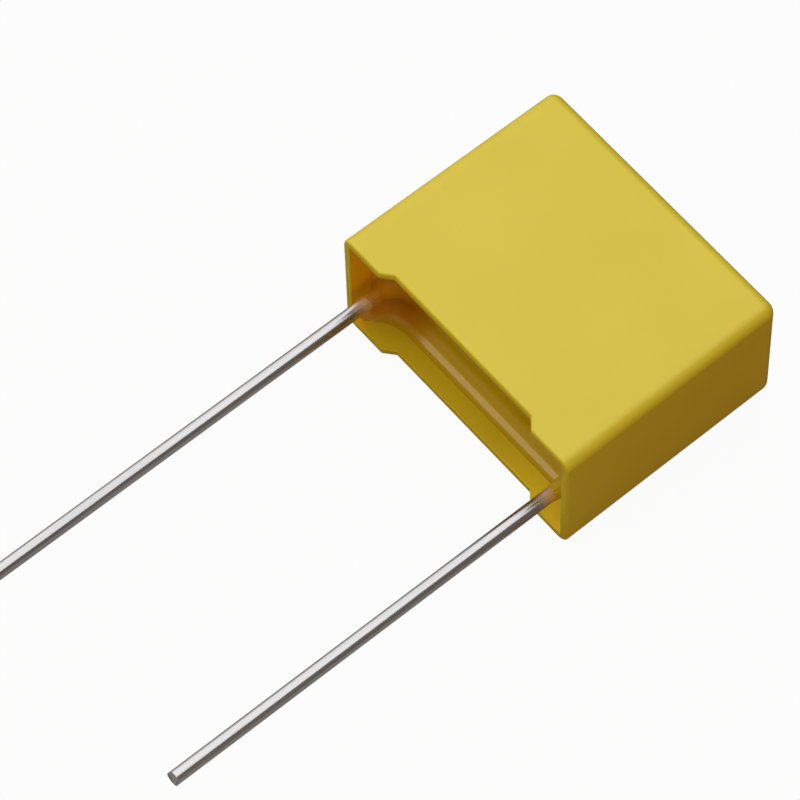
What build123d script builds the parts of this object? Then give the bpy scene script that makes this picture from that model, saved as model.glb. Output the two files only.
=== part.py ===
"""Box-type polyester film capacitor, lying on one broad face with its two leads level.

Frame: X runs across the two leads, +Y points to the closed end of the case and the leads to -Y, and
+Z is up through the thickness. The origin is the centre of the broad face that it lies on.
Lengths are in millimetres, angles in degrees.
"""
import os
from math import radians, tan

from build123d import *

# Leads: tinned round wire
LEAD_PITCH = 15.0           # between the two lead axes
LEAD_DIAMETER = 0.8
LEAD_REACH = 25.0           # free length past the feet of the case
LEAD_BELOW_MIDDLE = 0.95    # the lead axes lie this far under the middle of the case
WELD_LENGTH = 7.2           # wire that lies against the end spray
WELD_DEPTH = 0.15           # how far that wire sinks into the spray
SHEAR_ANGLE = 12.0          # slant of the sheared tip

# Case: moulded cup
CASE_DEPTH = 14.5           # feet to closed end
CASE_THICKNESS = 8.5        # over the two broad walls
WALL = 0.5                  # side walls at the rim
END_WALL = 0.7              # wall of the closed end
LEAD_TO_WALL = 0.6          # resin between a lead and the narrow wall beside it
SIDE_DRAFT = 0.4            # outside of the narrow walls
CORE_DRAFT = 0.5            # inside of all four side walls
LONG_EDGE_RADIUS = 0.7      # the four outer edges that run from rim to closed end
END_EDGE_RADIUS = 0.6       # outer edge round the closed end
CORE_CORNER_RADIUS = 0.35   # the four inner edges that run from rim to closed end
CORE_FLOOR_RADIUS = 0.3     # inner edge round the closed end

# Rim: a recess in each broad wall leaves a foot at every corner
RIM_EDGE_RADIUS = 0.35      # outer edge of the rim, along its feet and recesses
STANDOFF = 0.55             # depth of the recess
FOOT_LENGTH = 2.9           # from the case's side to where the slant starts
SLANT_LENGTH = 0.65         # run of the slanted end of the recess

# Potting resin
RESIN_LEVEL = 2.6           # flat surface of the resin, below the feet
MENISCUS_RISE = 1.1         # climb at the walls
MENISCUS_FEATHER = 0.06     # thickness of the resin's edge on a wall
WELL_CORNER_EXTRA = 0.1     # the hollow's corners are rounder than the meniscus by this
COLLAR_RISE = 2.4           # climb along each lead
COLLAR_SPREAD = 1.9         # how far out from the wire that climb starts
COLLAR_FEATHER = 0.1        # thickness of the collar's edge on the wire
CORNER_RISE = 2.0           # climb in the corner of the case beside each lead
CORNER_REACH = 0.7          # from that corner to the top edge of its climb
CORNER_SPREAD = 2.4         # how far out from that edge the climb starts

# Winding with a sprayed metal contact on each end
RESIN_OVER_WINDING = 1.3    # between the resin's flat surface and the winding
WINDING_CLEARANCE = 0.45    # winding to the inner walls and floor of the case
SPRAY_THICKNESS = 0.7       # metal on each end of the winding
SPRAY_INSET = 0.12          # the metal stops this far inside the winding's edge
SPRAY_CHAMFER = 0.2         # bevelled rim of the metal

# Worked-out places
LEAD_RADIUS = LEAD_DIAMETER / 2
LEAD_X = LEAD_PITCH / 2
CASE_WIDTH = LEAD_PITCH + 2 * (LEAD_RADIUS + LEAD_TO_WALL + WALL)
RIM_Y = -CASE_DEPTH / 2
END_Y = CASE_DEPTH / 2
MIDDLE_Z = CASE_THICKNESS / 2
LEAD_Z = MIDDLE_Z - LEAD_BELOW_MIDDLE
CORE_DEPTH = CASE_DEPTH - END_WALL
CORE_WIDTH = CASE_WIDTH - 2 * WALL
CORE_THICKNESS = CASE_THICKNESS - 2 * WALL
RESIN_Y = RIM_Y + RESIN_LEVEL
WINDING_FRONT_Y = RESIN_Y + RESIN_OVER_WINDING
WINDING_BACK_Y = RIM_Y + CORE_DEPTH - WINDING_CLEARANCE
WINDING_THICKNESS = CORE_THICKNESS - 2 * (CORE_DEPTH * tan(radians(CORE_DRAFT)) + WINDING_CLEARANCE)
SPRAY_OUTER_X = LEAD_X - LEAD_RADIUS + WELD_DEPTH
SPRAY_INNER_X = SPRAY_OUTER_X - SPRAY_THICKNESS
SIDES = {"left": -1, "right": 1}


def across(y, x=0.0, z=MIDDLE_Z):
    """Plane square to the depth of the case: its x runs along X, its y along Z, its normal to -Y."""
    return Plane(origin=(x, y, z), x_dir=(1, 0, 0), z_dir=(0, -1, 0))


def edges_at(solid, axis, place):
    """The edges of a solid that lie in one plane square to an axis."""
    return solid.edges().filter_by_position(axis, place - 0.001, place + 0.001)


def drafted_block(front_y, depth, width, thickness, side_draft, broad_draft, corner_radius):
    """Block that narrows towards +Y by a draft on each pair of walls, with rounded long edges."""
    side_step = depth * tan(radians(side_draft))
    broad_step = depth * tan(radians(broad_draft))
    block = Pos(0, front_y, MIDDLE_Z) * Wedge(
        width, depth, thickness, side_step, broad_step, width - side_step, thickness - broad_step,
        align=(Align.CENTER, Align.MIN, Align.CENTER),
    )
    long_edges = block.edges() - edges_at(block, Axis.Y, front_y) - edges_at(block, Axis.Y, front_y + depth)
    return fillet(long_edges, corner_radius)


def cup_inside(depth, inset, corner_radius, floor_radius):
    """The drafted space inside the cup from its rim to a depth, made smaller all round by an inset."""
    width = CORE_WIDTH - 2 * inset
    thickness = CORE_THICKNESS - 2 * inset
    block = drafted_block(RIM_Y, depth, width, thickness, CORE_DRAFT, CORE_DRAFT, corner_radius)
    return fillet(edges_at(block, Axis.Y, RIM_Y + depth), floor_radius)


def core():
    """What the moulding core leaves: the whole inside of the cup."""
    return cup_inside(CORE_DEPTH, 0, CORE_CORNER_RADIUS, CORE_FLOOR_RADIUS)


def rim_recess():
    """Cutter for the wide shallow recess in both broad walls, with slanted ends."""
    half_mouth = CASE_WIDTH / 2 - FOOT_LENGTH
    half_floor = half_mouth - SLANT_LENGTH
    half_outside = half_mouth + SLANT_LENGTH
    outline = Polyline(
        (-half_outside, RIM_Y - STANDOFF),
        (-half_floor, RIM_Y + STANDOFF),
        (half_floor, RIM_Y + STANDOFF),
        (half_outside, RIM_Y - STANDOFF),
        close=True,
    )
    return extrude(make_face(outline), CASE_THICKNESS)


def rim_outline(blank):
    """The edges all round a blank's footed front, without the creases that cross its thickness."""
    front = blank.edges().filter_by_position(Axis.Y, RIM_Y - 0.001, RIM_Y + STANDOFF + 0.001)
    half_middle = CASE_WIDTH / 2 - LONG_EDGE_RADIUS
    creases = front.filter_by(Axis.Z).filter_by_position(Axis.X, -half_middle, half_middle)
    return front - creases


def case():
    """Moulded cup: broad faces that lie true, drafted narrow walls, rounded edges, footed rim."""
    blank = drafted_block(RIM_Y, CASE_DEPTH, CASE_WIDTH, CASE_THICKNESS, SIDE_DRAFT, 0, LONG_EDGE_RADIUS)
    blank = fillet(edges_at(blank, Axis.Y, END_Y), END_EDGE_RADIUS) - rim_recess()
    return fillet(rim_outline(blank), RIM_EDGE_RADIUS) - core()


def roll_outline(inset):
    """Section of the flattened roll, seen along X: flat sides, half-round front and back."""
    length = WINDING_BACK_Y - WINDING_FRONT_Y - 2 * inset
    middle_y = (WINDING_BACK_Y + WINDING_FRONT_Y) / 2
    plane = Plane(origin=(0, middle_y, MIDDLE_Z), x_dir=(0, 1, 0), z_dir=(1, 0, 0))
    return plane * SlotOverall(length, WINDING_THICKNESS - 2 * inset)


def film_winding():
    """Metallised polyester film, wound, pressed flat and heat-set."""
    return extrude(roll_outline(0), SPRAY_INNER_X, both=True)


def lead(side):
    """Straight tinned wire from its sheared tip to the end of its weld."""
    inner_y = WINDING_FRONT_Y + WELD_LENGTH
    tip_y = RIM_Y - LEAD_REACH
    wire = extrude(across(inner_y, side * LEAD_X, LEAD_Z) * Circle(LEAD_RADIUS), inner_y - tip_y)
    shear_y = tip_y + LEAD_RADIUS * tan(radians(SHEAR_ANGLE))
    shear = across(shear_y, side * LEAD_X, LEAD_Z).rotated((SHEAR_ANGLE, 0, 0))
    return split(wire, bisect_by=shear, keep=Keep.BOTTOM)


def end_spray(side):
    """Metal sprayed on one end of the winding, with the groove that the welded wire melts into it."""
    plane_of_end = Location((side * SPRAY_INNER_X, 0, 0))
    layer = extrude(plane_of_end * roll_outline(SPRAY_INSET), side * SPRAY_THICKNESS)
    layer = chamfer(edges_at(layer, Axis.X, side * SPRAY_OUTER_X), SPRAY_CHAMFER)
    return layer - lead(side)


def resin_climb(x, z, top_radius, spread, rise):
    """Hollow-sided cone of resin drawn up along a line parallel to Y."""
    top_y = RESIN_Y - rise
    root_y = RESIN_Y + RESIN_OVER_WINDING / 2
    foot_radius = top_radius + spread
    hollow = EllipticalCenterArc((foot_radius, top_y), spread, rise, 90, arc_size=90)
    straight = Polyline(
        (foot_radius, RESIN_Y), (foot_radius, root_y), (0, root_y), (0, top_y), (top_radius, top_y)
    )
    half_section = Plane(origin=(x, 0, z)) * make_face([hollow, *straight.edges()])
    return revolve(half_section, Axis((x, 0, z), (0, 1, 0)))


def potting_resin():
    """Epoxy poured round the winding, hollow at the walls, drawn up at the leads and their corners."""
    inside = core()
    corner_z = MIDDLE_Z - CORE_THICKNESS / 2
    surface = across(RESIN_Y - MENISCUS_RISE)
    well_corner = MENISCUS_RISE + WELL_CORNER_EXTRA
    well = cup_inside(RESIN_LEVEL, MENISCUS_FEATHER, well_corner, MENISCUS_RISE)
    resin = split(inside, bisect_by=surface, keep=Keep.BOTTOM) - well
    for side in SIDES.values():
        collar = resin_climb(side * LEAD_X, LEAD_Z, LEAD_RADIUS + COLLAR_FEATHER, COLLAR_SPREAD, COLLAR_RISE)
        corner = resin_climb(side * CORE_WIDTH / 2, corner_z, CORNER_REACH, CORNER_SPREAD, CORNER_RISE)
        resin += (collar & inside) + (corner & inside)
    resin -= film_winding()
    for side in SIDES.values():
        resin -= end_spray(side)
        resin -= lead(side)
    return resin


def pieces():
    """Every piece of the capacitor by its node name."""
    named = {"case": case(), "potting_resin": potting_resin(), "film_winding": film_winding()}
    for word, side in SIDES.items():
        named[f"end_spray_{word}"] = end_spray(side)
        named[f"lead_{word}"] = lead(side)
    return named


os.makedirs("parts", exist_ok=True)
for name, piece in pieces().items():
    export_step(piece, f"parts/{name}.step")
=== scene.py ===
from math import cos, pi, radians, sin, tan

import bmesh
import bpy
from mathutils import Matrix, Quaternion, Vector


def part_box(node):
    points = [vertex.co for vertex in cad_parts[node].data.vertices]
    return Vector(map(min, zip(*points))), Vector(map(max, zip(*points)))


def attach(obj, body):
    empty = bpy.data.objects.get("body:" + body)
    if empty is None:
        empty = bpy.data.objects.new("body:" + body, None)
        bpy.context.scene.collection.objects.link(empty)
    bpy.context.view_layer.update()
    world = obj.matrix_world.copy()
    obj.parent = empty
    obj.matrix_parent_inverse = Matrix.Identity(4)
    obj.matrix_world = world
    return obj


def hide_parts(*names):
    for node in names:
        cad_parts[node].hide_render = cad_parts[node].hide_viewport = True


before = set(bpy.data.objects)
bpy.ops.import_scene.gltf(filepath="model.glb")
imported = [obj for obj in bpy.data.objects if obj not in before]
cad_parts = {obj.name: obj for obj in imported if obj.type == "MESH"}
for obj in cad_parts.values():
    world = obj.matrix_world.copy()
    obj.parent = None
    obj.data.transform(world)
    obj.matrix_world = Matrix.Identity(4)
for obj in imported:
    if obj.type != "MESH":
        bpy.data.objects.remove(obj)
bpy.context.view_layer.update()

# ---------------------------------------------------------------- case
# The case is a cup of yellow PBT, injection-moulded in a polished tool. Its two broad walls lie true and
# its narrow walls are drafted, so that it leaves the tool. A shallow recess in each broad wall's rim leaves
# a foot at every corner, which keeps the potting resin off the circuit board.

# Lengths are in millimetres. The width is 0.005 under the real 18, so that the rim stays in the CAD box.
MM = 0.001
CASE_WIDTH, CASE_DEPTH, CASE_THICKNESS = 17.995, 14.5, 8.5
MIDDLE_Z = CASE_THICKNESS / 2
RIM_Y, END_Y = -CASE_DEPTH / 2, CASE_DEPTH / 2
WALL, END_WALL = 0.5, 0.7
CAVITY_WIDTH, CAVITY_THICKNESS = CASE_WIDTH - 2 * WALL, CASE_THICKNESS - 2 * WALL
CAVITY_DEPTH = CASE_DEPTH - END_WALL
SIDE_DRAFT, CAVITY_DRAFT = radians(0.4), radians(0.5)
SIDE_STEP, CAVITY_STEP = CASE_DEPTH * tan(SIDE_DRAFT), CAVITY_DEPTH * tan(CAVITY_DRAFT)
LONG_EDGE_RADIUS, END_EDGE_RADIUS, CAVITY_FLOOR_RADIUS = 0.7, 0.6, 0.15
RIM_OUTER_RADIUS, RIM_INNER_RADIUS = 0.15, 0.06
LARGE_RADIUS_STEPS, SMALL_RADIUS_STEPS, RIM_OUTER_STEPS, RIM_INNER_STEPS = 8, 3, 4, 2
RECESS, RECESS_HALF_MOUTH, RECESS_HALF_FLOOR = 0.55, 6.1, 5.45
SHORTEST_LONG_EDGE = 5.0
SHARPEST_SMOOTH_ANGLE = radians(50)
NEARLY, SQUARELY, MOSTLY = 0.02, 0.95, 0.5


def millimetres(*lengths):
    """Lengths in millimetres as Blender's metres."""
    return tuple(length * MM for length in lengths)


def take(piece):
    """Leaves one piece selected and active, for the operators that follow."""
    bpy.ops.object.select_all(action="DESELECT")
    piece.select_set(True)
    bpy.context.view_layer.objects.active = piece


def add_piece(name, primitive, **settings):
    """Adds a primitive, names it and moves its place, turn and size into its mesh."""
    bpy.ops.object.select_all(action="DESELECT")
    primitive(**settings)
    piece = bpy.context.object
    piece.name = piece.data.name = name
    bpy.ops.object.transform_apply(location=True, rotation=True, scale=True)
    return piece


def open_mesh(piece, kind):
    """Opens one piece's mesh for editing its vertices, edges or faces, with nothing selected."""
    take(piece)
    bpy.ops.object.mode_set(mode="EDIT")
    bpy.ops.mesh.select_mode(type=kind)
    bpy.ops.mesh.select_all(action="DESELECT")


def close_mesh():
    bpy.ops.object.mode_set(mode="OBJECT")


def pick(piece, kind, test):
    """Selects the open mesh's vertices, edges or faces that pass a test of their centre, in millimetres."""
    bpy.ops.mesh.select_mode(type=kind)
    bpy.ops.mesh.select_all(action="DESELECT")
    mesh = bmesh.from_edit_mesh(piece.data)
    for part in {"VERT": mesh.verts, "EDGE": mesh.edges, "FACE": mesh.faces}[kind]:
        corners = [part.co] if kind == "VERT" else [corner.co for corner in part.verts]
        centre = sum(corners, Vector()) / len(corners) / MM
        if test(centre, part):
            part.select_set(True)
    mesh.select_flush_mode()
    bmesh.update_edit_mesh(piece.data)


def faces_the_end(centre, face):
    return face.normal.y > SQUARELY


def faces_out(centre, face):
    return face.normal.y < -SQUARELY


def runs_along_y(centre, edge):
    start, end = (corner.co for corner in edge.verts)
    return abs(start.y - end.y) > SHORTEST_LONG_EDGE * MM


def round_edges(radius, steps):
    bpy.ops.mesh.bevel(
        offset=radius * MM,
        offset_type="OFFSET",
        segments=steps,
        profile=0.5,
        affect="EDGES",
        clamp_overlap=False,
    )


def narrow_end(width, thickness, step_x, step_z):
    """Draws in the selected end face by a step on each side."""
    bpy.ops.transform.resize(
        value=(1 - 2 * step_x / width, 1, 1 - 2 * step_z / thickness),
        center_override=millimetres(0, 0, MIDDLE_Z),
    )


def edges_the_rim(centre, edge):
    """True on the rim's outer and inner edge, where just one of the two faces looks out of the mouth."""
    looks_out = [face.normal.y < -MOSTLY for face in edge.link_faces]
    return centre.y < RIM_Y + RECESS + NEARLY and looks_out.count(True) == 1


def in_outer_corner(centre):
    """True on the outer one of the rim's two rounded corners."""
    away_x = abs(centre.x) - (CASE_WIDTH / 2 - LONG_EDGE_RADIUS)
    away_z = abs(centre.z - MIDDLE_Z) - (CASE_THICKNESS / 2 - LONG_EDGE_RADIUS)
    return away_x > 0 and away_z > 0 and Vector((away_x, away_z)).length > LONG_EDGE_RADIUS - WALL / 2


def edges_the_rim_outside(centre, edge):
    """True on the rim's outer edge, beyond the middle of the wall's thickness."""
    beyond_x = abs(centre.x) > (CASE_WIDTH - WALL) / 2
    beyond_z = abs(centre.z - MIDDLE_Z) > (CASE_THICKNESS - WALL) / 2
    return (beyond_x or beyond_z or in_outer_corner(centre)) and edges_the_rim(centre, edge)


def edges_the_rim_inside(centre, edge):
    return edges_the_rim(centre, edge) and not edges_the_rim_outside(centre, edge)


def on_recess_floor(centre, corner):
    """True on the rim between the two slants, before the recess is pushed in."""
    return centre.y < RIM_Y + NEARLY and abs(centre.x) < RECESS_HALF_FLOOR + NEARLY


def smooth_with_flat_faces(piece):
    """Smooths the rounded edges and keeps the flat faces' shading flat."""
    take(piece)
    bpy.ops.object.shade_smooth_by_angle(angle=SHARPEST_SMOOTH_ANGLE)
    weighting = piece.modifiers.new("Flat faces", "WEIGHTED_NORMAL")
    weighting.keep_sharp = True
    bpy.ops.object.modifier_apply(modifier=weighting.name)


case = add_piece(
    "moulded_case",
    bpy.ops.mesh.primitive_cube_add,
    size=1,
    location=millimetres(0, 0, MIDDLE_Z),
    scale=millimetres(CASE_WIDTH, CASE_DEPTH, CASE_THICKNESS),
)
open_mesh(case, "FACE")
pick(case, "FACE", faces_the_end)
narrow_end(CASE_WIDTH, CASE_THICKNESS, SIDE_STEP, 0)
pick(case, "EDGE", runs_along_y)
round_edges(LONG_EDGE_RADIUS, LARGE_RADIUS_STEPS)
pick(case, "FACE", faces_the_end)
bpy.ops.mesh.region_to_loop()
round_edges(END_EDGE_RADIUS, LARGE_RADIUS_STEPS)
pick(case, "FACE", faces_out)
bpy.ops.mesh.inset(thickness=WALL * MM, use_even_offset=True)
bpy.ops.mesh.extrude_region_move(TRANSFORM_OT_translate={"value": millimetres(0, CAVITY_DEPTH, 0)})
narrow_end(CAVITY_WIDTH, CAVITY_THICKNESS, CAVITY_STEP, CAVITY_STEP)
bpy.ops.mesh.select_mode(type="EDGE")
bpy.ops.mesh.region_to_loop()
round_edges(CAVITY_FLOOR_RADIUS, SMALL_RADIUS_STEPS)
for cut_x in (-RECESS_HALF_MOUTH, -RECESS_HALF_FLOOR, RECESS_HALF_FLOOR, RECESS_HALF_MOUTH):
    bpy.ops.mesh.select_all(action="SELECT")
    bpy.ops.mesh.bisect(plane_co=millimetres(cut_x, 0, 0), plane_no=(1, 0, 0))
pick(case, "VERT", on_recess_floor)
bpy.ops.transform.translate(value=millimetres(0, RECESS, 0))
pick(case, "EDGE", edges_the_rim_inside)
round_edges(RIM_INNER_RADIUS, RIM_INNER_STEPS)
pick(case, "EDGE", edges_the_rim_outside)
round_edges(RIM_OUTER_RADIUS, RIM_OUTER_STEPS)
close_mesh()
smooth_with_flat_faces(case)


def linear(hex_colour):
    """An sRGB hex colour as the linear colour that a shader takes."""
    channels = [int(hex_colour[start : start + 2], 16) / 255 for start in (1, 3, 5)]
    return (*[c / 12.92 if c <= 0.04045 else ((c + 0.055) / 1.055) ** 2.4 for c in channels], 1)


def new_material(name):
    """An empty material with nothing in its node tree."""
    material = bpy.data.materials.new(name)
    material.use_nodes = True
    material.node_tree.nodes.clear()
    return material


def add_node(owner, kind, links=None, stops=None, **settings):
    """Adds a node with its settings to a material or the world, and links its sockets to what feeds them."""
    new = owner.node_tree.nodes.new(kind)
    for name, value in settings.items():
        setattr(new, name, value)
    for socket, value in (links or {}).items():
        if isinstance(value, bpy.types.NodeSocket):
            owner.node_tree.links.new(value, new.inputs[socket])
        else:
            new.inputs[socket].default_value = value
    if stops:
        for stop, (position, colour) in zip(new.color_ramp.elements, stops):
            stop.position, stop.color = position, colour
    return new


def add_fade(material, value, start, end, times=1.0):
    """A mask that goes from 0 at one length to 1 at another, both in millimetres, times another mask."""
    fade = add_node(
        material, "ShaderNodeMapRange", {"Value": value, "From Min": start * MM, "From Max": end * MM}
    )
    product = add_node(
        material, "ShaderNodeMath", {0: fade.outputs["Result"], 1: times}, operation="MULTIPLY"
    )
    return product.outputs["Value"]


# Moulded PBT: a dense, even yellow with a soft gloss. The polished tool leaves faint flow marks and a very
# low orange-peel, which break up the edge of a reflection and nothing else. The rim and the narrow walls have
# less gloss than the broad ones. The rim and the inner walls are painted a deeper yellow, a painted shade;
# the inner walls are painted brighter to the right, painted light, and beside the left lead they are painted
# a bright orange glow, also painted light.
FLOW_MARK, PEEL = 6.0, 0.35
BROAD_WALL_GLOSS, GLOSS_LOST = 0.45, 0.38

# Where each tone starts and where it is full: behind a wall's inner face, behind the rim, along Y, and
# along X.
INNER_STARTS, INNER_FULL, RIM_STARTS, RIM_FULL = 0.06, 0.01, 0.13, 0.03
PAST_MOUTH_Y, ABOVE_RESIN_Y = (-7.3, -7.1), (-3.5, -4.0)
GLOW_SIDE_X, LIT_SIDE_X, NARROW_WALL_X = (-7.5, -8.3), (2.0, 8.3), (8.7, 8.87)

pbt = new_material("moulded_yellow_pbt")
place = add_node(pbt, "ShaderNodeTexCoord")
split_place = add_node(pbt, "ShaderNodeSeparateXYZ", {"Vector": place.outputs["Object"]})
flow = add_node(
    pbt,
    "ShaderNodeTexNoise",
    {"Vector": place.outputs["Object"], "Scale": 1 / (FLOW_MARK * MM), "Detail": 2.0, "Roughness": 0.5},
)
yellow = add_node(
    pbt,
    "ShaderNodeValToRGB",
    {"Fac": flow.outputs["Fac"]},
    stops=[(0.3, linear("#D2BF31")), (0.7, linear("#D5C335"))],
)
peel = add_node(
    pbt,
    "ShaderNodeTexNoise",
    {"Vector": place.outputs["Object"], "Scale": 1 / (PEEL * MM), "Detail": 3.0, "Roughness": 0.6},
)
peel_roughness = add_node(
    pbt,
    "ShaderNodeMapRange",
    {"Value": peel.outputs["Fac"], "From Min": 0.3, "From Max": 0.7, "To Min": 0.33, "To Max": 0.42},
)
waviness = add_node(
    pbt, "ShaderNodeBump", {"Height": peel.outputs["Fac"], "Strength": 0.04, "Distance": 0.02 * MM}
)
off_middle = add_node(
    pbt, "ShaderNodeMath", {0: split_place.outputs["Z"], 1: MIDDLE_Z * MM}, operation="SUBTRACT"
)
from_middle = add_node(pbt, "ShaderNodeMath", {0: off_middle.outputs["Value"]}, operation="ABSOLUTE")
across_case = add_node(pbt, "ShaderNodeMath", {0: split_place.outputs["X"]}, operation="ABSOLUTE")
inside = 1.0
for distance, inner_face in (
    (across_case.outputs["Value"], CAVITY_WIDTH / 2),
    (from_middle.outputs["Value"], CAVITY_THICKNESS / 2),
):
    inside = add_fade(pbt, distance, inner_face + INNER_STARTS, inner_face + INNER_FULL, inside)
inside = add_fade(pbt, split_place.outputs["Y"], *PAST_MOUTH_Y, inside)
inside = add_fade(pbt, split_place.outputs["Y"], *ABOVE_RESIN_Y, inside)
# Painted light: beside the left lead the inner walls are painted a bright orange glow, for light bounced
# there.
painted_glow_mask = add_fade(pbt, split_place.outputs["X"], *GLOW_SIDE_X, inside)
# Painted shade and light: #C8B018 is the cavity's painted shade, and #F0D02A paints it lit towards the right
# end.
lit_to_right = add_fade(pbt, split_place.outputs["X"], *LIT_SIDE_X)
inner = add_node(
    pbt, "ShaderNodeMix", {0: lit_to_right, 6: linear("#C8B018"), 7: linear("#F0D02A")}, data_type="RGBA"
)
in_recess = add_fade(pbt, across_case.outputs["Value"], RECESS_HALF_MOUTH, RECESS_HALF_FLOOR)
from_rim = add_node(
    pbt,
    "ShaderNodeMath",
    {0: in_recess, 1: -RECESS * MM, 2: split_place.outputs["Y"]},
    operation="MULTIPLY_ADD",
)
at_rim = add_fade(pbt, from_rim.outputs["Value"], RIM_Y + RIM_STARTS, RIM_Y + RIM_FULL)
# Painted shade: the rim is painted a deeper yellow than the outer walls.
rim_shaded = add_node(
    pbt, "ShaderNodeMix", {0: at_rim, 6: yellow.outputs["Color"], 7: linear("#C2AE1F")}, data_type="RGBA"
)
# Painted shade: inside the cavity the walls take the deeper, shaded inner yellow in place of the case's own.
shaded_in_cavity = add_node(
    pbt, "ShaderNodeMix", {0: inside, 6: rim_shaded.outputs[2], 7: inner.outputs[2]}, data_type="RGBA"
)
with_painted_glow = add_node(
    pbt, "ShaderNodeMix", {0: painted_glow_mask, 6: shaded_in_cavity.outputs[2], 7: linear("#F0BA0E")}, data_type="RGBA"
)
on_narrow_wall = add_fade(pbt, across_case.outputs["Value"], *NARROW_WALL_X)
dull = add_node(pbt, "ShaderNodeMath", {0: at_rim, 1: on_narrow_wall}, operation="MAXIMUM")
case_gloss = add_node(
    pbt,
    "ShaderNodeMath",
    {0: dull.outputs["Value"], 1: -GLOSS_LOST, 2: BROAD_WALL_GLOSS},
    operation="MULTIPLY_ADD",
)
surface = add_node(
    pbt,
    "ShaderNodeBsdfPrincipled",
    {
        "Base Color": with_painted_glow.outputs[2],
        "Roughness": peel_roughness.outputs["Result"],
        "Normal": waviness.outputs["Normal"],
        "IOR": 1.5,
        "Specular IOR Level": case_gloss.outputs["Value"],
    },
)
add_node(pbt, "ShaderNodeOutputMaterial", {"Surface": surface.outputs["BSDF"]})
case.data.materials.append(pbt)
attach(case, "root")
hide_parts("case")

# ---------------------------------------------------------------- potting resin
# Epoxy is poured round the winding with the case's mouth upwards, and cured. While it is liquid it wets
# every wall and wire, so it sets hollow at the walls and drawn up into a collar on each lead.

RESIN_LEVEL, MENISCUS = 2.6, 1.1
RESIN_Y = RIM_Y + RESIN_LEVEL
LEAD_X, LEAD_Z, LEAD_RADIUS = 7.5, 3.3, 0.4
SHARPEST_WET_ANGLE = radians(40)

# The skin starts as a grid of square cells, wider than the cavity, whose middle stays flat. Further cuts
# follow the steep part of the meniscus, at these degrees round its quarter circle.
CELL = 0.06
FLAT_HALF_WIDTH, FLAT_HALF_THICKNESS = 123 * CELL, 44 * CELL
SKIN_HALF_WIDTH, SKIN_HALF_THICKNESS = 144 * CELL, 64 * CELL
STEEP_ANGLES = 64, 70, 74, 82, 86
CUT_PRECISION = 0.0001

# Each climb is how far it goes towards the mouth and how far from its top it starts. A collar's top is a ring
# this much wider than the wire, and a corner's top reaches this far along both walls.
COLLAR_CLIMBS, COLLAR_TOP = ((-1.0, 1.9), (-0.7, 0.7), (-0.6, 0.25)), 0.04
CORNER_CLIMB, LEFT_CORNER_CLIMB, CORNER_REACH = (-0.7, 2.4), (-0.4, 2.0), 0.5


def move_skin(piece, test, falloff, *moves):
    """Moves the skin along Y at the vertices that pass a test, each move with its own spread round them."""
    pick(piece, "VERT", test)
    for depth, spread in moves:
        bpy.ops.transform.translate(
            value=millimetres(0, depth, 0),
            use_proportional_edit=True,
            proportional_edit_falloff=falloff,
            proportional_size=spread * MM,
        )


def away_from_walls(centre, vertex):
    in_width = abs(centre.x) < FLAT_HALF_WIDTH + NEARLY
    return in_width and abs(centre.z - MIDDLE_Z) < FLAT_HALF_THICKNESS + NEARLY


def at_a_lead(centre, vertex):
    off_axis = Vector((abs(centre.x), centre.z)) - Vector((LEAD_X, LEAD_Z))
    return off_axis.length < LEAD_RADIUS + COLLAR_TOP


def in_a_lower_corner(centre, vertex):
    return abs(centre.x) > CAVITY_WIDTH / 2 - CORNER_REACH and centre.z < WALL + CORNER_REACH


def in_the_left_lower_corner(centre, vertex):
    return centre.x < 0 and in_a_lower_corner(centre, vertex)


resin = add_piece(
    "potting_epoxy",
    bpy.ops.mesh.primitive_grid_add,
    x_subdivisions=round(2 * SKIN_HALF_WIDTH / CELL),
    y_subdivisions=round(2 * SKIN_HALF_THICKNESS / CELL),
    size=2 * SKIN_HALF_WIDTH * MM,
    location=millimetres(0, RESIN_Y - MENISCUS, MIDDLE_Z),
    rotation=(pi / 2, 0, 0),
)
open_mesh(resin, "VERT")
bpy.ops.mesh.select_all(action="SELECT")
bpy.ops.transform.resize(
    value=(1, 1, SKIN_HALF_THICKNESS / SKIN_HALF_WIDTH), center_override=millimetres(0, RESIN_Y, MIDDLE_Z)
)
for angle in STEEP_ANGLES:
    out = MENISCUS * sin(radians(angle))
    for side in (-1, 1):
        for cut_place, normal in (
            ((side * (FLAT_HALF_WIDTH + out), 0, 0), (1, 0, 0)),
            ((0, 0, MIDDLE_Z + side * (FLAT_HALF_THICKNESS + out)), (0, 0, 1)),
        ):
            bpy.ops.mesh.select_all(action="SELECT")
            bpy.ops.mesh.bisect(
                plane_co=millimetres(*cut_place), plane_no=normal, threshold=CUT_PRECISION * MM
            )
move_skin(resin, away_from_walls, "SPHERE", (MENISCUS, MENISCUS))
move_skin(resin, at_a_lead, "SHARP", *COLLAR_CLIMBS)
move_skin(resin, in_a_lower_corner, "SHARP", CORNER_CLIMB)
move_skin(resin, in_the_left_lower_corner, "SHARP", LEFT_CORNER_CLIMB)

# The skin is drawn back to a flat end beyond the cavity's floor, and the cavity trims the block it makes.
bpy.ops.mesh.select_all(action="SELECT")
bpy.ops.mesh.extrude_region_move(TRANSFORM_OT_translate={"value": millimetres(0, RESIN_LEVEL, 0)})
bpy.ops.transform.resize(value=(1, 0, 1), center_override=millimetres(0, END_Y, 0))
bpy.ops.mesh.select_all(action="SELECT")
bpy.ops.mesh.normals_make_consistent(inside=False)
close_mesh()

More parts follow.
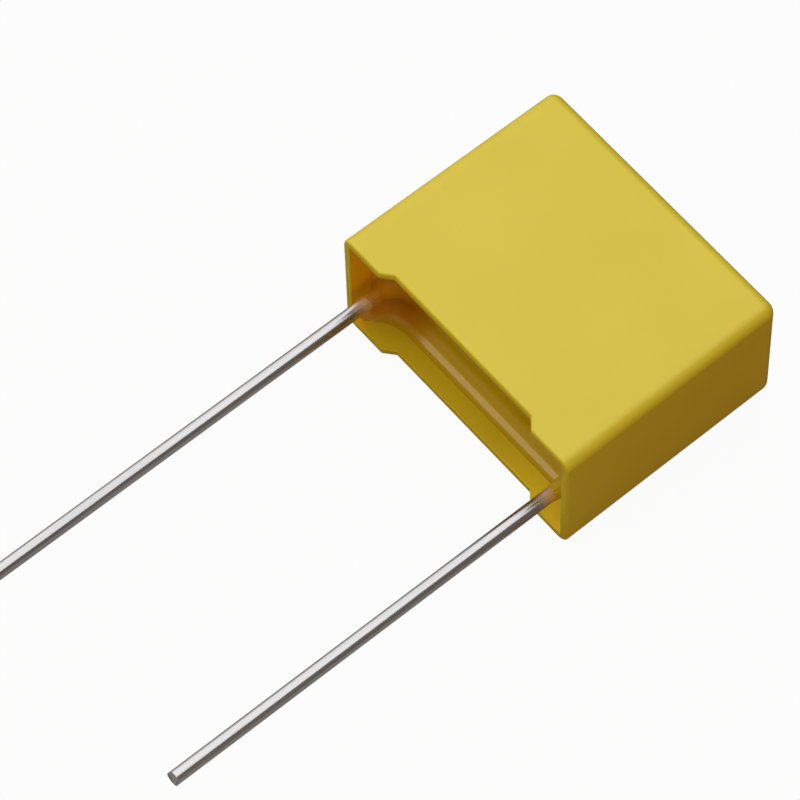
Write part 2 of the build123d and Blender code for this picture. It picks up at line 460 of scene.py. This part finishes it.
core = add_piece(
    "core",
    bpy.ops.mesh.primitive_cube_add,
    size=1,
    location=millimetres(0, RIM_Y + CAVITY_DEPTH / 2, MIDDLE_Z),
    scale=millimetres(CAVITY_WIDTH, CAVITY_DEPTH, CAVITY_THICKNESS),
)
open_mesh(core, "FACE")
pick(core, "FACE", faces_the_end)
narrow_end(CAVITY_WIDTH, CAVITY_THICKNESS, CAVITY_STEP, CAVITY_STEP)
pick(core, "EDGE", runs_along_y)
round_edges(LONG_EDGE_RADIUS - WALL, LARGE_RADIUS_STEPS)
close_mesh()
take(resin)
trim = resin.modifiers.new("Cavity", "BOOLEAN")
trim.object, trim.operation, trim.solver = core, "INTERSECT", "EXACT"
bpy.ops.object.modifier_apply(modifier=trim.name)
bpy.data.objects.remove(core)
bpy.ops.object.shade_smooth_by_angle(angle=SHARPEST_WET_ANGLE)

# Cast epoxy: a hard, clear amber glass with a wet gloss. It takes the yellow of the walls where it is thin
# over them and is more olive over the winding; towards the left end it is painted a darker burnt orange, a
# painted shade, and up the left wall it is painted a brighter amber, painted light. Round each wire, and in a
# patch beside the left one, its skin has set duller.
CLOUD, CLOUD_SHARE = 1.6, 0.35
WALL_SHOWS_FROM, WALL_SHOWS_FULL = 0.55, 1.0
COLLAR_ROUGHNESS, SKIN_ROUGHNESS = 0.45, 0.14
FULL_GLOSS, GLOSS_LOST_IN_PATCH = 0.5, 0.42

# Where the painted shade at the left end is full and gone along X, and how far from a wire's axis its collar
# ends and the wall's colour and the wet gloss are full.
LEFT_SHADE_FULL, LEFT_SHADE_GONE = -6.8, -3.6
COLLAR_ENDS, WALL_COLOUR_FULL, GLOSS_FULL = 0.9, 2.1, 3.0

# Where the thin edge, the painted light up the left wall and the dull patch start along an axis and where
# they are full. The patch leaves out its corner beside the lead and the mouth.
THIN_EDGE_Z, LEFT_WALL_X = (0.75, 0.52), (-8.0, -8.45)
PATCH_X, CLEAR_OF_LEAD_X, CLEAR_OF_MOUTH_Y = (-4.8, -5.4), (-6.9, -6.5), (-6.45, -6.3)

epoxy = new_material("cast_amber_epoxy")
place = add_node(epoxy, "ShaderNodeTexCoord")
split_place = add_node(epoxy, "ShaderNodeSeparateXYZ", {"Vector": place.outputs["Object"]})
thinness = add_node(
    epoxy,
    "ShaderNodeMapRange",
    {
        "Value": split_place.outputs["Y"],
        "From Min": (RESIN_Y - MENISCUS) * MM,
        "From Max": RESIN_Y * MM,
        "To Min": 1.0,
        "To Max": 0.0,
    },
)
cloud = add_node(
    epoxy,
    "ShaderNodeTexNoise",
    {"Vector": place.outputs["Object"], "Scale": 1 / (CLOUD * MM), "Detail": 3.0, "Roughness": 0.55},
)
mixture = add_node(
    epoxy,
    "ShaderNodeMath",
    {0: cloud.outputs["Fac"], 1: CLOUD_SHARE, 2: thinness.outputs["Result"]},
    operation="MULTIPLY_ADD",
)
olive, left_shade_ramp = (
    add_node(
        epoxy,
        "ShaderNodeValToRGB",
        {"Fac": mixture.outputs["Value"]},
        stops=[(0.1, linear(deep_colour)), (1.0, linear(thin_colour))],
    )
    for deep_colour, thin_colour in (("#AE8F04", "#C2A20C"), ("#9B5D02", "#B37A06"))
)
# Painted shade: the resin is painted a darker burnt orange towards the left end.
left_end_shade = add_node(
    epoxy,
    "ShaderNodeMapRange",
    {
        "Value": split_place.outputs["X"],
        "From Min": LEFT_SHADE_FULL * MM,
        "From Max": LEFT_SHADE_GONE * MM,
        "To Min": 1.0,
        "To Max": 0.0,
    },
    interpolation_type="SMOOTHSTEP",
)
deep = add_node(
    epoxy,
    "ShaderNodeMix",
    {0: left_end_shade.outputs["Result"], 6: olive.outputs["Color"], 7: left_shade_ramp.outputs["Color"]},
    data_type="RGBA",
)
across_case = add_node(epoxy, "ShaderNodeMath", {0: split_place.outputs["X"]}, operation="ABSOLUTE")
off_wire_x = add_node(
    epoxy, "ShaderNodeMath", {0: across_case.outputs["Value"], 1: LEAD_X * MM}, operation="SUBTRACT"
)
off_wire_z = add_node(
    epoxy, "ShaderNodeMath", {0: split_place.outputs["Z"], 1: LEAD_Z * MM}, operation="SUBTRACT"
)
off_wire = add_node(
    epoxy, "ShaderNodeCombineXYZ", {"X": off_wire_x.outputs["Value"], "Y": off_wire_z.outputs["Value"]}
)
from_wire = add_node(epoxy, "ShaderNodeVectorMath", {0: off_wire.outputs["Vector"]}, operation="LENGTH")
clear_of_wire = add_node(
    epoxy,
    "ShaderNodeMapRange",
    {
        "Value": from_wire.outputs["Value"],
        "From Min": COLLAR_ENDS * MM,
        "From Max": WALL_COLOUR_FULL * MM,
    },
    interpolation_type="SMOOTHSTEP",
)
over_wall = add_node(
    epoxy,
    "ShaderNodeMapRange",
    {"Value": thinness.outputs["Result"], "From Min": WALL_SHOWS_FROM, "From Max": WALL_SHOWS_FULL},
    interpolation_type="SMOOTHSTEP",
)
clear_of_left_shade = add_node(
    epoxy, "ShaderNodeMath", {0: 1.0, 1: left_end_shade.outputs["Result"]}, operation="SUBTRACT"
)
clear_of_both = add_node(
    epoxy,
    "ShaderNodeMath",
    {0: clear_of_left_shade.outputs["Value"], 1: clear_of_wire.outputs["Result"]},
    operation="MULTIPLY",
)
see_through = add_node(
    epoxy,
    "ShaderNodeMath",
    {0: over_wall.outputs["Result"], 1: clear_of_both.outputs["Value"]},
    operation="MULTIPLY",
)
thin_edge = add_fade(epoxy, split_place.outputs["Z"], *THIN_EDGE_Z, left_end_shade.outputs["Result"])
thin = add_node(epoxy, "ShaderNodeMath", {0: see_through.outputs["Value"], 1: thin_edge}, operation="MAXIMUM")
# Painted light: near the left wall the resin is painted a brighter amber, #D8940A, for light bounced onto it.
on_left_wall = add_fade(epoxy, split_place.outputs["X"], *LEFT_WALL_X)
lit_deep = add_node(
    epoxy, "ShaderNodeMix", {0: on_left_wall, 6: deep.outputs[2], 7: linear("#D8940A")}, data_type="RGBA"
)
amber = add_node(
    epoxy,
    "ShaderNodeMix",
    {0: thin.outputs["Value"], 6: lit_deep.outputs[2], 7: linear("#B4941A")},
    data_type="RGBA",
)
skin_roughness = add_node(
    epoxy,
    "ShaderNodeMapRange",
    {
        "Value": from_wire.outputs["Value"],
        "From Min": COLLAR_ENDS * MM,
        "From Max": GLOSS_FULL * MM,
        "To Min": COLLAR_ROUGHNESS,
        "To Max": SKIN_ROUGHNESS,
    },
)
clear_of_lead = add_fade(epoxy, split_place.outputs["X"], *CLEAR_OF_LEAD_X)
clear_of_mouth = add_fade(epoxy, split_place.outputs["Y"], *CLEAR_OF_MOUTH_Y)
clear_of_corner = add_node(
    epoxy, "ShaderNodeMath", {0: clear_of_lead, 1: clear_of_mouth}, operation="MAXIMUM"
)
in_patch = add_fade(epoxy, split_place.outputs["X"], *PATCH_X, clear_of_corner.outputs["Value"])
resin_gloss = add_node(
    epoxy, "ShaderNodeMath", {0: in_patch, 1: -GLOSS_LOST_IN_PATCH, 2: FULL_GLOSS}, operation="MULTIPLY_ADD"
)
surface = add_node(
    epoxy,
    "ShaderNodeBsdfPrincipled",
    {
        "Base Color": amber.outputs[2],
        "Roughness": skin_roughness.outputs["Result"],
        "IOR": 1.55,
        "Specular IOR Level": resin_gloss.outputs["Value"],
    },
)
add_node(epoxy, "ShaderNodeOutputMaterial", {"Surface": surface.outputs["BSDF"]})
resin.data.materials.append(epoxy)
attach(resin, "root")
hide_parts("potting_resin")

# ---------------------------------------------------------------- leads
# Each lead is 0.8 mm copper-clad steel wire with a bright tin coat. It is drawn through a die, straightened,
# welded to the winding's sprayed end and sheared off nearly square at its tip.

TIP_CLEARANCE, LEAD_INNER_Y = 0.01, 3.85
LEAD_TIP_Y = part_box("lead_left")[0].y / MM + TIP_CLEARANCE
LEAD_SIDES, TIP_EDGE_RADIUS, TIP_EDGE_STEPS = 64, 0.025, 2
SHEAR_ANGLE = radians(12.0)
SHEAR_Y = LEAD_TIP_Y + LEAD_RADIUS * tan(SHEAR_ANGLE)

left_lead = add_piece(
    "tinned_lead_left",
    bpy.ops.mesh.primitive_cylinder_add,
    vertices=LEAD_SIDES,
    radius=LEAD_RADIUS * MM,
    depth=(LEAD_INNER_Y - LEAD_TIP_Y) * MM,
    location=millimetres(-LEAD_X, (LEAD_INNER_Y + LEAD_TIP_Y) / 2, LEAD_Z),
    rotation=(pi / 2, 0, 0),
)
open_mesh(left_lead, "FACE")
bpy.ops.mesh.select_all(action="SELECT")
bpy.ops.mesh.bisect(
    plane_co=millimetres(-LEAD_X, SHEAR_Y, LEAD_Z),
    plane_no=(0, -cos(SHEAR_ANGLE), sin(SHEAR_ANGLE)),
    use_fill=True,
    clear_outer=True,
)
pick(left_lead, "FACE", faces_out)
bpy.ops.mesh.region_to_loop()
round_edges(TIP_EDGE_RADIUS, TIP_EDGE_STEPS)
close_mesh()
smooth_with_flat_faces(left_lead)

# Bright tin on drawn wire: a grey mirror with fine lines along it from the die, too fine to show at their
# true 0.01 mm and drawn at 0.06 mm. Where the wire enters the case, a thin film of resin has crept along it,
# with a ragged end; its pale pink colour is partly a painted highlight, where the case's roof keeps the
# lamps' reflection off the wire.
DIE_LINE, DIE_LINE_RUN = 0.06, 9.0
FILM_STARTS, FILM_COVERS, FILM_PATCH, FILM_RAGGEDNESS, FILM_ROUGHNESS = -8.3, -7.1, 0.5, 0.4, 0.5

tin = new_material("drawn_tinned_wire")
place = add_node(tin, "ShaderNodeTexCoord")
split_place = add_node(tin, "ShaderNodeSeparateXYZ", {"Vector": place.outputs["Object"]})
drawn = add_node(
    tin,
    "ShaderNodeMapping",
    {
        "Vector": place.outputs["Object"],
        "Scale": (1 / (DIE_LINE * MM), 1 / (DIE_LINE_RUN * MM), 1 / (DIE_LINE * MM)),
    },
)
die_lines = add_node(
    tin, "ShaderNodeTexNoise", {"Vector": drawn.outputs["Vector"], "Scale": 1.0, "Detail": 3.0}
)
tin_colour = add_node(
    tin,
    "ShaderNodeValToRGB",
    {"Fac": die_lines.outputs["Fac"]},
    stops=[(0.3, linear("#ABA9AB")), (0.7, linear("#BDBBBD"))],
)
patches = add_node(
    tin, "ShaderNodeTexNoise", {"Vector": place.outputs["Object"], "Scale": 1 / (FILM_PATCH * MM)}
)
ragged = add_node(
    tin,
    "ShaderNodeMath",
    {0: patches.outputs["Fac"], 1: FILM_RAGGEDNESS * MM, 2: split_place.outputs["Y"]},
    operation="MULTIPLY_ADD",
)
resin_film_and_highlight = add_node(
    tin,
    "ShaderNodeMapRange",
    {
        "Value": ragged.outputs["Value"],
        "From Min": (FILM_STARTS + FILM_RAGGEDNESS / 2) * MM,
        "From Max": (FILM_COVERS + FILM_RAGGEDNESS / 2) * MM,
    },
    interpolation_type="SMOOTHSTEP",
)
# Painted highlight: the film's colour, #EBC8AC, is paler than tin so that the wire still looks lit under the
# case's roof.
wire_colour = add_node(
    tin,
    "ShaderNodeMix",
    {0: resin_film_and_highlight.outputs["Result"], 6: tin_colour.outputs["Color"], 7: linear("#EBC8AC")},
    data_type="RGBA",
)
polish = add_node(
    tin,
    "ShaderNodeMapRange",
    {"Value": die_lines.outputs["Fac"], "From Min": 0.3, "From Max": 0.7, "To Min": 0.16, "To Max": 0.28},
)
filmed_polish = add_node(
    tin,
    "ShaderNodeMix",
    {0: resin_film_and_highlight.outputs["Result"], 2: polish.outputs["Result"], 3: FILM_ROUGHNESS},
    data_type="FLOAT",
)
scoring = add_node(
    tin, "ShaderNodeBump", {"Height": die_lines.outputs["Fac"], "Strength": 0.25, "Distance": 0.01 * MM}
)
surface = add_node(
    tin,
    "ShaderNodeBsdfPrincipled",
    {
        "Base Color": wire_colour.outputs[2],
        "Metallic": 1.0,
        "Roughness": filmed_polish.outputs[0],
        "Normal": scoring.outputs["Normal"],
    },
)
add_node(tin, "ShaderNodeOutputMaterial", {"Surface": surface.outputs["BSDF"]})
left_lead.data.materials.append(tin)

take(left_lead)
bpy.ops.object.duplicate()
right_lead = bpy.context.object
right_lead.name = right_lead.data.name = "tinned_lead_right"
right_lead.location = millimetres(2 * LEAD_X, 0, 0)
bpy.ops.object.transform_apply(location=True, rotation=True, scale=True)
for lead, node in ((left_lead, "lead_left"), (right_lead, "lead_right")):
    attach(lead, "root")
    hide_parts(node)

# ---------------------------------------------------------------- winding
# Polyester film with a vapour-deposited aluminium skin, wound some hundreds of turns, pressed flat and
# heat-set. It is wholly inside the resin.

# Metallised film: silvery, with the turns' edges as fine layers, some 0.01 mm thick in the real one. A wave
# texture turns 20 times its scale in radians, so each layer is drawn 2 pi times FILM_LAYER thick.
FILM_LAYER, WAVE_TURNING = 0.2, 20

film = new_material("metallised_polyester_film")
place = add_node(film, "ShaderNodeTexCoord")
layers = add_node(
    film,
    "ShaderNodeTexWave",
    {
        "Vector": place.outputs["Object"],
        "Scale": 1 / (FILM_LAYER * MM) / WAVE_TURNING,
        "Distortion": 1.5,
        "Detail": 2.0,
    },
    bands_direction="Z",
)
film_colour = add_node(
    film,
    "ShaderNodeValToRGB",
    {"Fac": layers.outputs["Fac"]},
    stops=[(0.0, linear("#A9ABAF")), (1.0, linear("#C9CBCE"))],
)
surface = add_node(
    film,
    "ShaderNodeBsdfPrincipled",
    {"Base Color": film_colour.outputs["Color"], "Metallic": 0.6, "Roughness": 0.3},
)
add_node(film, "ShaderNodeOutputMaterial", {"Surface": surface.outputs["BSDF"]})
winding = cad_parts["film_winding"]
winding.data.materials.clear()
winding.data.materials.append(film)

# ---------------------------------------------------------------- end contacts
# Molten zinc and tin are sprayed on both ends of the winding, where they join the film's metal skin. Each
# lead is welded into this layer.

# Arc-sprayed metal: dull grey, rough, with grains of about 0.15 mm.
GRAIN = 0.15

spray = new_material("arc_sprayed_zinc")
place = add_node(spray, "ShaderNodeTexCoord")
grains = add_node(
    spray,
    "ShaderNodeTexNoise",
    {"Vector": place.outputs["Object"], "Scale": 1 / (GRAIN * MM), "Detail": 4.0, "Roughness": 0.7},
)
spray_colour = add_node(
    spray,
    "ShaderNodeValToRGB",
    {"Fac": grains.outputs["Fac"]},
    stops=[(0.3, linear("#77797C")), (0.7, linear("#A3A5A8"))],
)
crust = add_node(
    spray, "ShaderNodeBump", {"Height": grains.outputs["Fac"], "Strength": 0.6, "Distance": 0.05 * MM}
)
surface = add_node(
    spray,
    "ShaderNodeBsdfPrincipled",
    {
        "Base Color": spray_colour.outputs["Color"],
        "Metallic": 1.0,
        "Roughness": 0.65,
        "Normal": crust.outputs["Normal"],
    },
)
add_node(spray, "ShaderNodeOutputMaterial", {"Surface": surface.outputs["BSDF"]})
for word in ("left", "right"):
    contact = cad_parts[f"end_spray_{word}"]
    contact.data.materials.clear()
    contact.data.materials.append(spray)

# ---------------------------------------------------------------- floor and light
# The capacitor lies on a white sheet. Two long softboxes hang over it and to its left with a gap between
# them, a white card stands far to the left and a warm one in front to the right, in a dim warm room.

SHEET_SIZE = 4.0
WHITENING, MIRRORED_WHITENING, MIRRORED_WHITE = 0.96, 0.25, 0.3
LEADS_SIDE, CASE_SIDE = -9.6, -8.2


def add_white(owner, when_seen, when_mirrored):
    """One value where the camera looks straight, another where metal or glass shows it, and 0 elsewhere."""
    ray = add_node(owner, "ShaderNodeLightPath")
    mirrored = add_node(
        owner,
        "ShaderNodeMath",
        {0: ray.outputs["Is Glossy Ray"], 1: ray.outputs["Is Transmission Ray"]},
        operation="MAXIMUM",
    )
    seen = add_node(
        owner, "ShaderNodeMath", {0: ray.outputs["Is Camera Ray"], 1: when_seen}, operation="MULTIPLY"
    )
    white = add_node(
        owner,
        "ShaderNodeMath",
        {0: mirrored.outputs["Value"], 1: when_mirrored, 2: seen.outputs["Value"]},
        operation="MULTIPLY_ADD",
    )
    return white.outputs["Value"]


def add_softbox(name, place, aim, size, radiance, colour):
    """A rectangular soft lamp whose face has a given radiance, turned towards a point, all in metres."""
    lamp = bpy.data.objects.new(name, bpy.data.lights.new(name, "AREA"))
    bpy.context.scene.collection.objects.link(lamp)
    lamp.data.shape = "RECTANGLE"
    lamp.data.size, lamp.data.size_y = size
    lamp.data.energy = radiance * pi * size[0] * size[1]
    lamp.data.color = colour
    lamp.location = place
    lamp.rotation_euler = (Vector(place) - Vector(aim)).to_track_quat("Z", "Y").to_euler()


bpy.ops.object.select_all(action="DESELECT")
bpy.ops.mesh.primitive_plane_add(size=SHEET_SIZE)
floor = bpy.context.object
floor.name = "floor"

# White paper, matt: the case and the leads are lit by it as by grey paper, with a painted warm shade beside
# the case that only reflections and bounced light see, and the camera sees it whitened, with the shadow left
# in it.
sheet = new_material("white_paper_sheet")
place = add_node(sheet, "ShaderNodeTexCoord")
split_place = add_node(sheet, "ShaderNodeSeparateXYZ", {"Vector": place.outputs["Object"]})
ray = add_node(sheet, "ShaderNodeLightPath")
unseen = add_node(sheet, "ShaderNodeMath", {0: 1.0, 1: ray.outputs["Is Camera Ray"]}, operation="SUBTRACT")
painted_shade_beside_case = add_fade(sheet, split_place.outputs["Y"], LEADS_SIDE, CASE_SIDE, unseen.outputs["Value"])
# Painted shade: beside the case the sheet is a darker warm brown, #8C6A38, for every ray but the camera's.
paper_colour = add_node(
    sheet, "ShaderNodeMix", {0: painted_shade_beside_case, 6: linear("#A9AAAF"), 7: linear("#8C6A38")}, data_type="RGBA"
)
paper = add_node(sheet, "ShaderNodeBsdfDiffuse", {"Color": paper_colour.outputs[2]})
glow = add_node(
    sheet, "ShaderNodeEmission", {"Color": (1, 1, 1, 1), "Strength": add_white(sheet, 1.0, MIRRORED_WHITE)}
)
mixed = add_node(
    sheet,
    "ShaderNodeMixShader",
    {
        "Fac": add_white(sheet, WHITENING, MIRRORED_WHITENING),
        1: paper.outputs["BSDF"],
        2: glow.outputs["Emission"],
    },
)
add_node(sheet, "ShaderNodeOutputMaterial", {"Surface": mixed.outputs["Shader"]})
floor.data.materials.append(sheet)

add_softbox(
    "softbox_overhead",
    place=(-0.33, 0.085, 0.30),
    aim=(-0.33, 0.085, 0.0),
    size=(1.0, 0.27),
    radiance=1.57,
    colour=(0.98, 1.0, 1.0),
)
add_softbox(
    "softbox_front",
    place=(-0.33, -0.25, 0.30),
    aim=(-0.33, -0.25, 0.0),
    size=(1.0, 0.30),
    radiance=1.86,
    colour=(1.0, 0.94, 0.74),
)
add_softbox(
    "card_left",
    place=(-0.85, 0.26, 0.15),
    aim=(0, 0, 0.15),
    size=(0.5, 0.30),
    radiance=1.0,
    colour=(1.0, 1.0, 1.0),
)
add_softbox(
    "card_warm",
    place=(0.50, -0.30, 0.22),
    aim=(0, 0, 0.004),
    size=(0.70, 0.40),
    radiance=0.94,
    colour=(1.0, 0.53, 0.12),
)

ROOM, PALE_BACKDROP, MIRRORED_BACKDROP = 0.12, 0.97, 0.1
world = bpy.data.worlds.new("dim_warm_room")
bpy.context.scene.world = world
world.use_nodes = True
world.node_tree.nodes.clear()
room = add_node(world, "ShaderNodeBackground", {"Color": (1.0, 0.86, 0.62, 1), "Strength": ROOM})
backdrop = add_node(world, "ShaderNodeBackground", {"Color": (1, 1, 1, 1), "Strength": PALE_BACKDROP})
either = add_node(
    world,
    "ShaderNodeMixShader",
    {
        "Fac": add_white(world, 1.0, MIRRORED_BACKDROP),
        1: room.outputs["Background"],
        2: backdrop.outputs["Background"],
    },
)
add_node(world, "ShaderNodeOutputWorld", {"Surface": either.outputs["Shader"]})

# ---------------------------------------------------------------- camera
# A long lens looks down on the open side of the case and one narrow wall. It is turned round the object,
# raised, rolled a little, and aimed beside the case, so that both leads come into view.

CAMERA_TURN, CAMERA_HEIGHT, CAMERA_ROLL = radians(51.915), radians(61.032), radians(-2.035)
CAMERA_DISTANCE, CAMERA_LENS, SENSOR = 280.0, 239.06, 36.0
CAMERA_SEES_FROM, CAMERA_SEES_TO = 0.001, 20.0
AIM_BASE, AIM_RIGHT, AIM_UP = Vector((0, 2.75, 5.0)), -10.504, -6.492
back = Vector(
    (sin(CAMERA_TURN) * cos(CAMERA_HEIGHT), -cos(CAMERA_TURN) * cos(CAMERA_HEIGHT), sin(CAMERA_HEIGHT))
)
turn = back.to_track_quat("Z", "Y") @ Quaternion((0, 0, 1), CAMERA_ROLL)
aim = AIM_BASE + turn @ Vector((AIM_RIGHT, AIM_UP, 0))
camera = bpy.data.objects.new("camera", bpy.data.cameras.new("camera"))
bpy.context.scene.collection.objects.link(camera)
camera.location = (aim + back * CAMERA_DISTANCE) * MM
camera.rotation_euler = turn.to_euler()
camera.data.lens, camera.data.sensor_width = CAMERA_LENS, SENSOR
camera.data.clip_start, camera.data.clip_end = CAMERA_SEES_FROM, CAMERA_SEES_TO
bpy.context.scene.camera = camera

bpy.context.scene.view_settings.view_transform = "Standard"
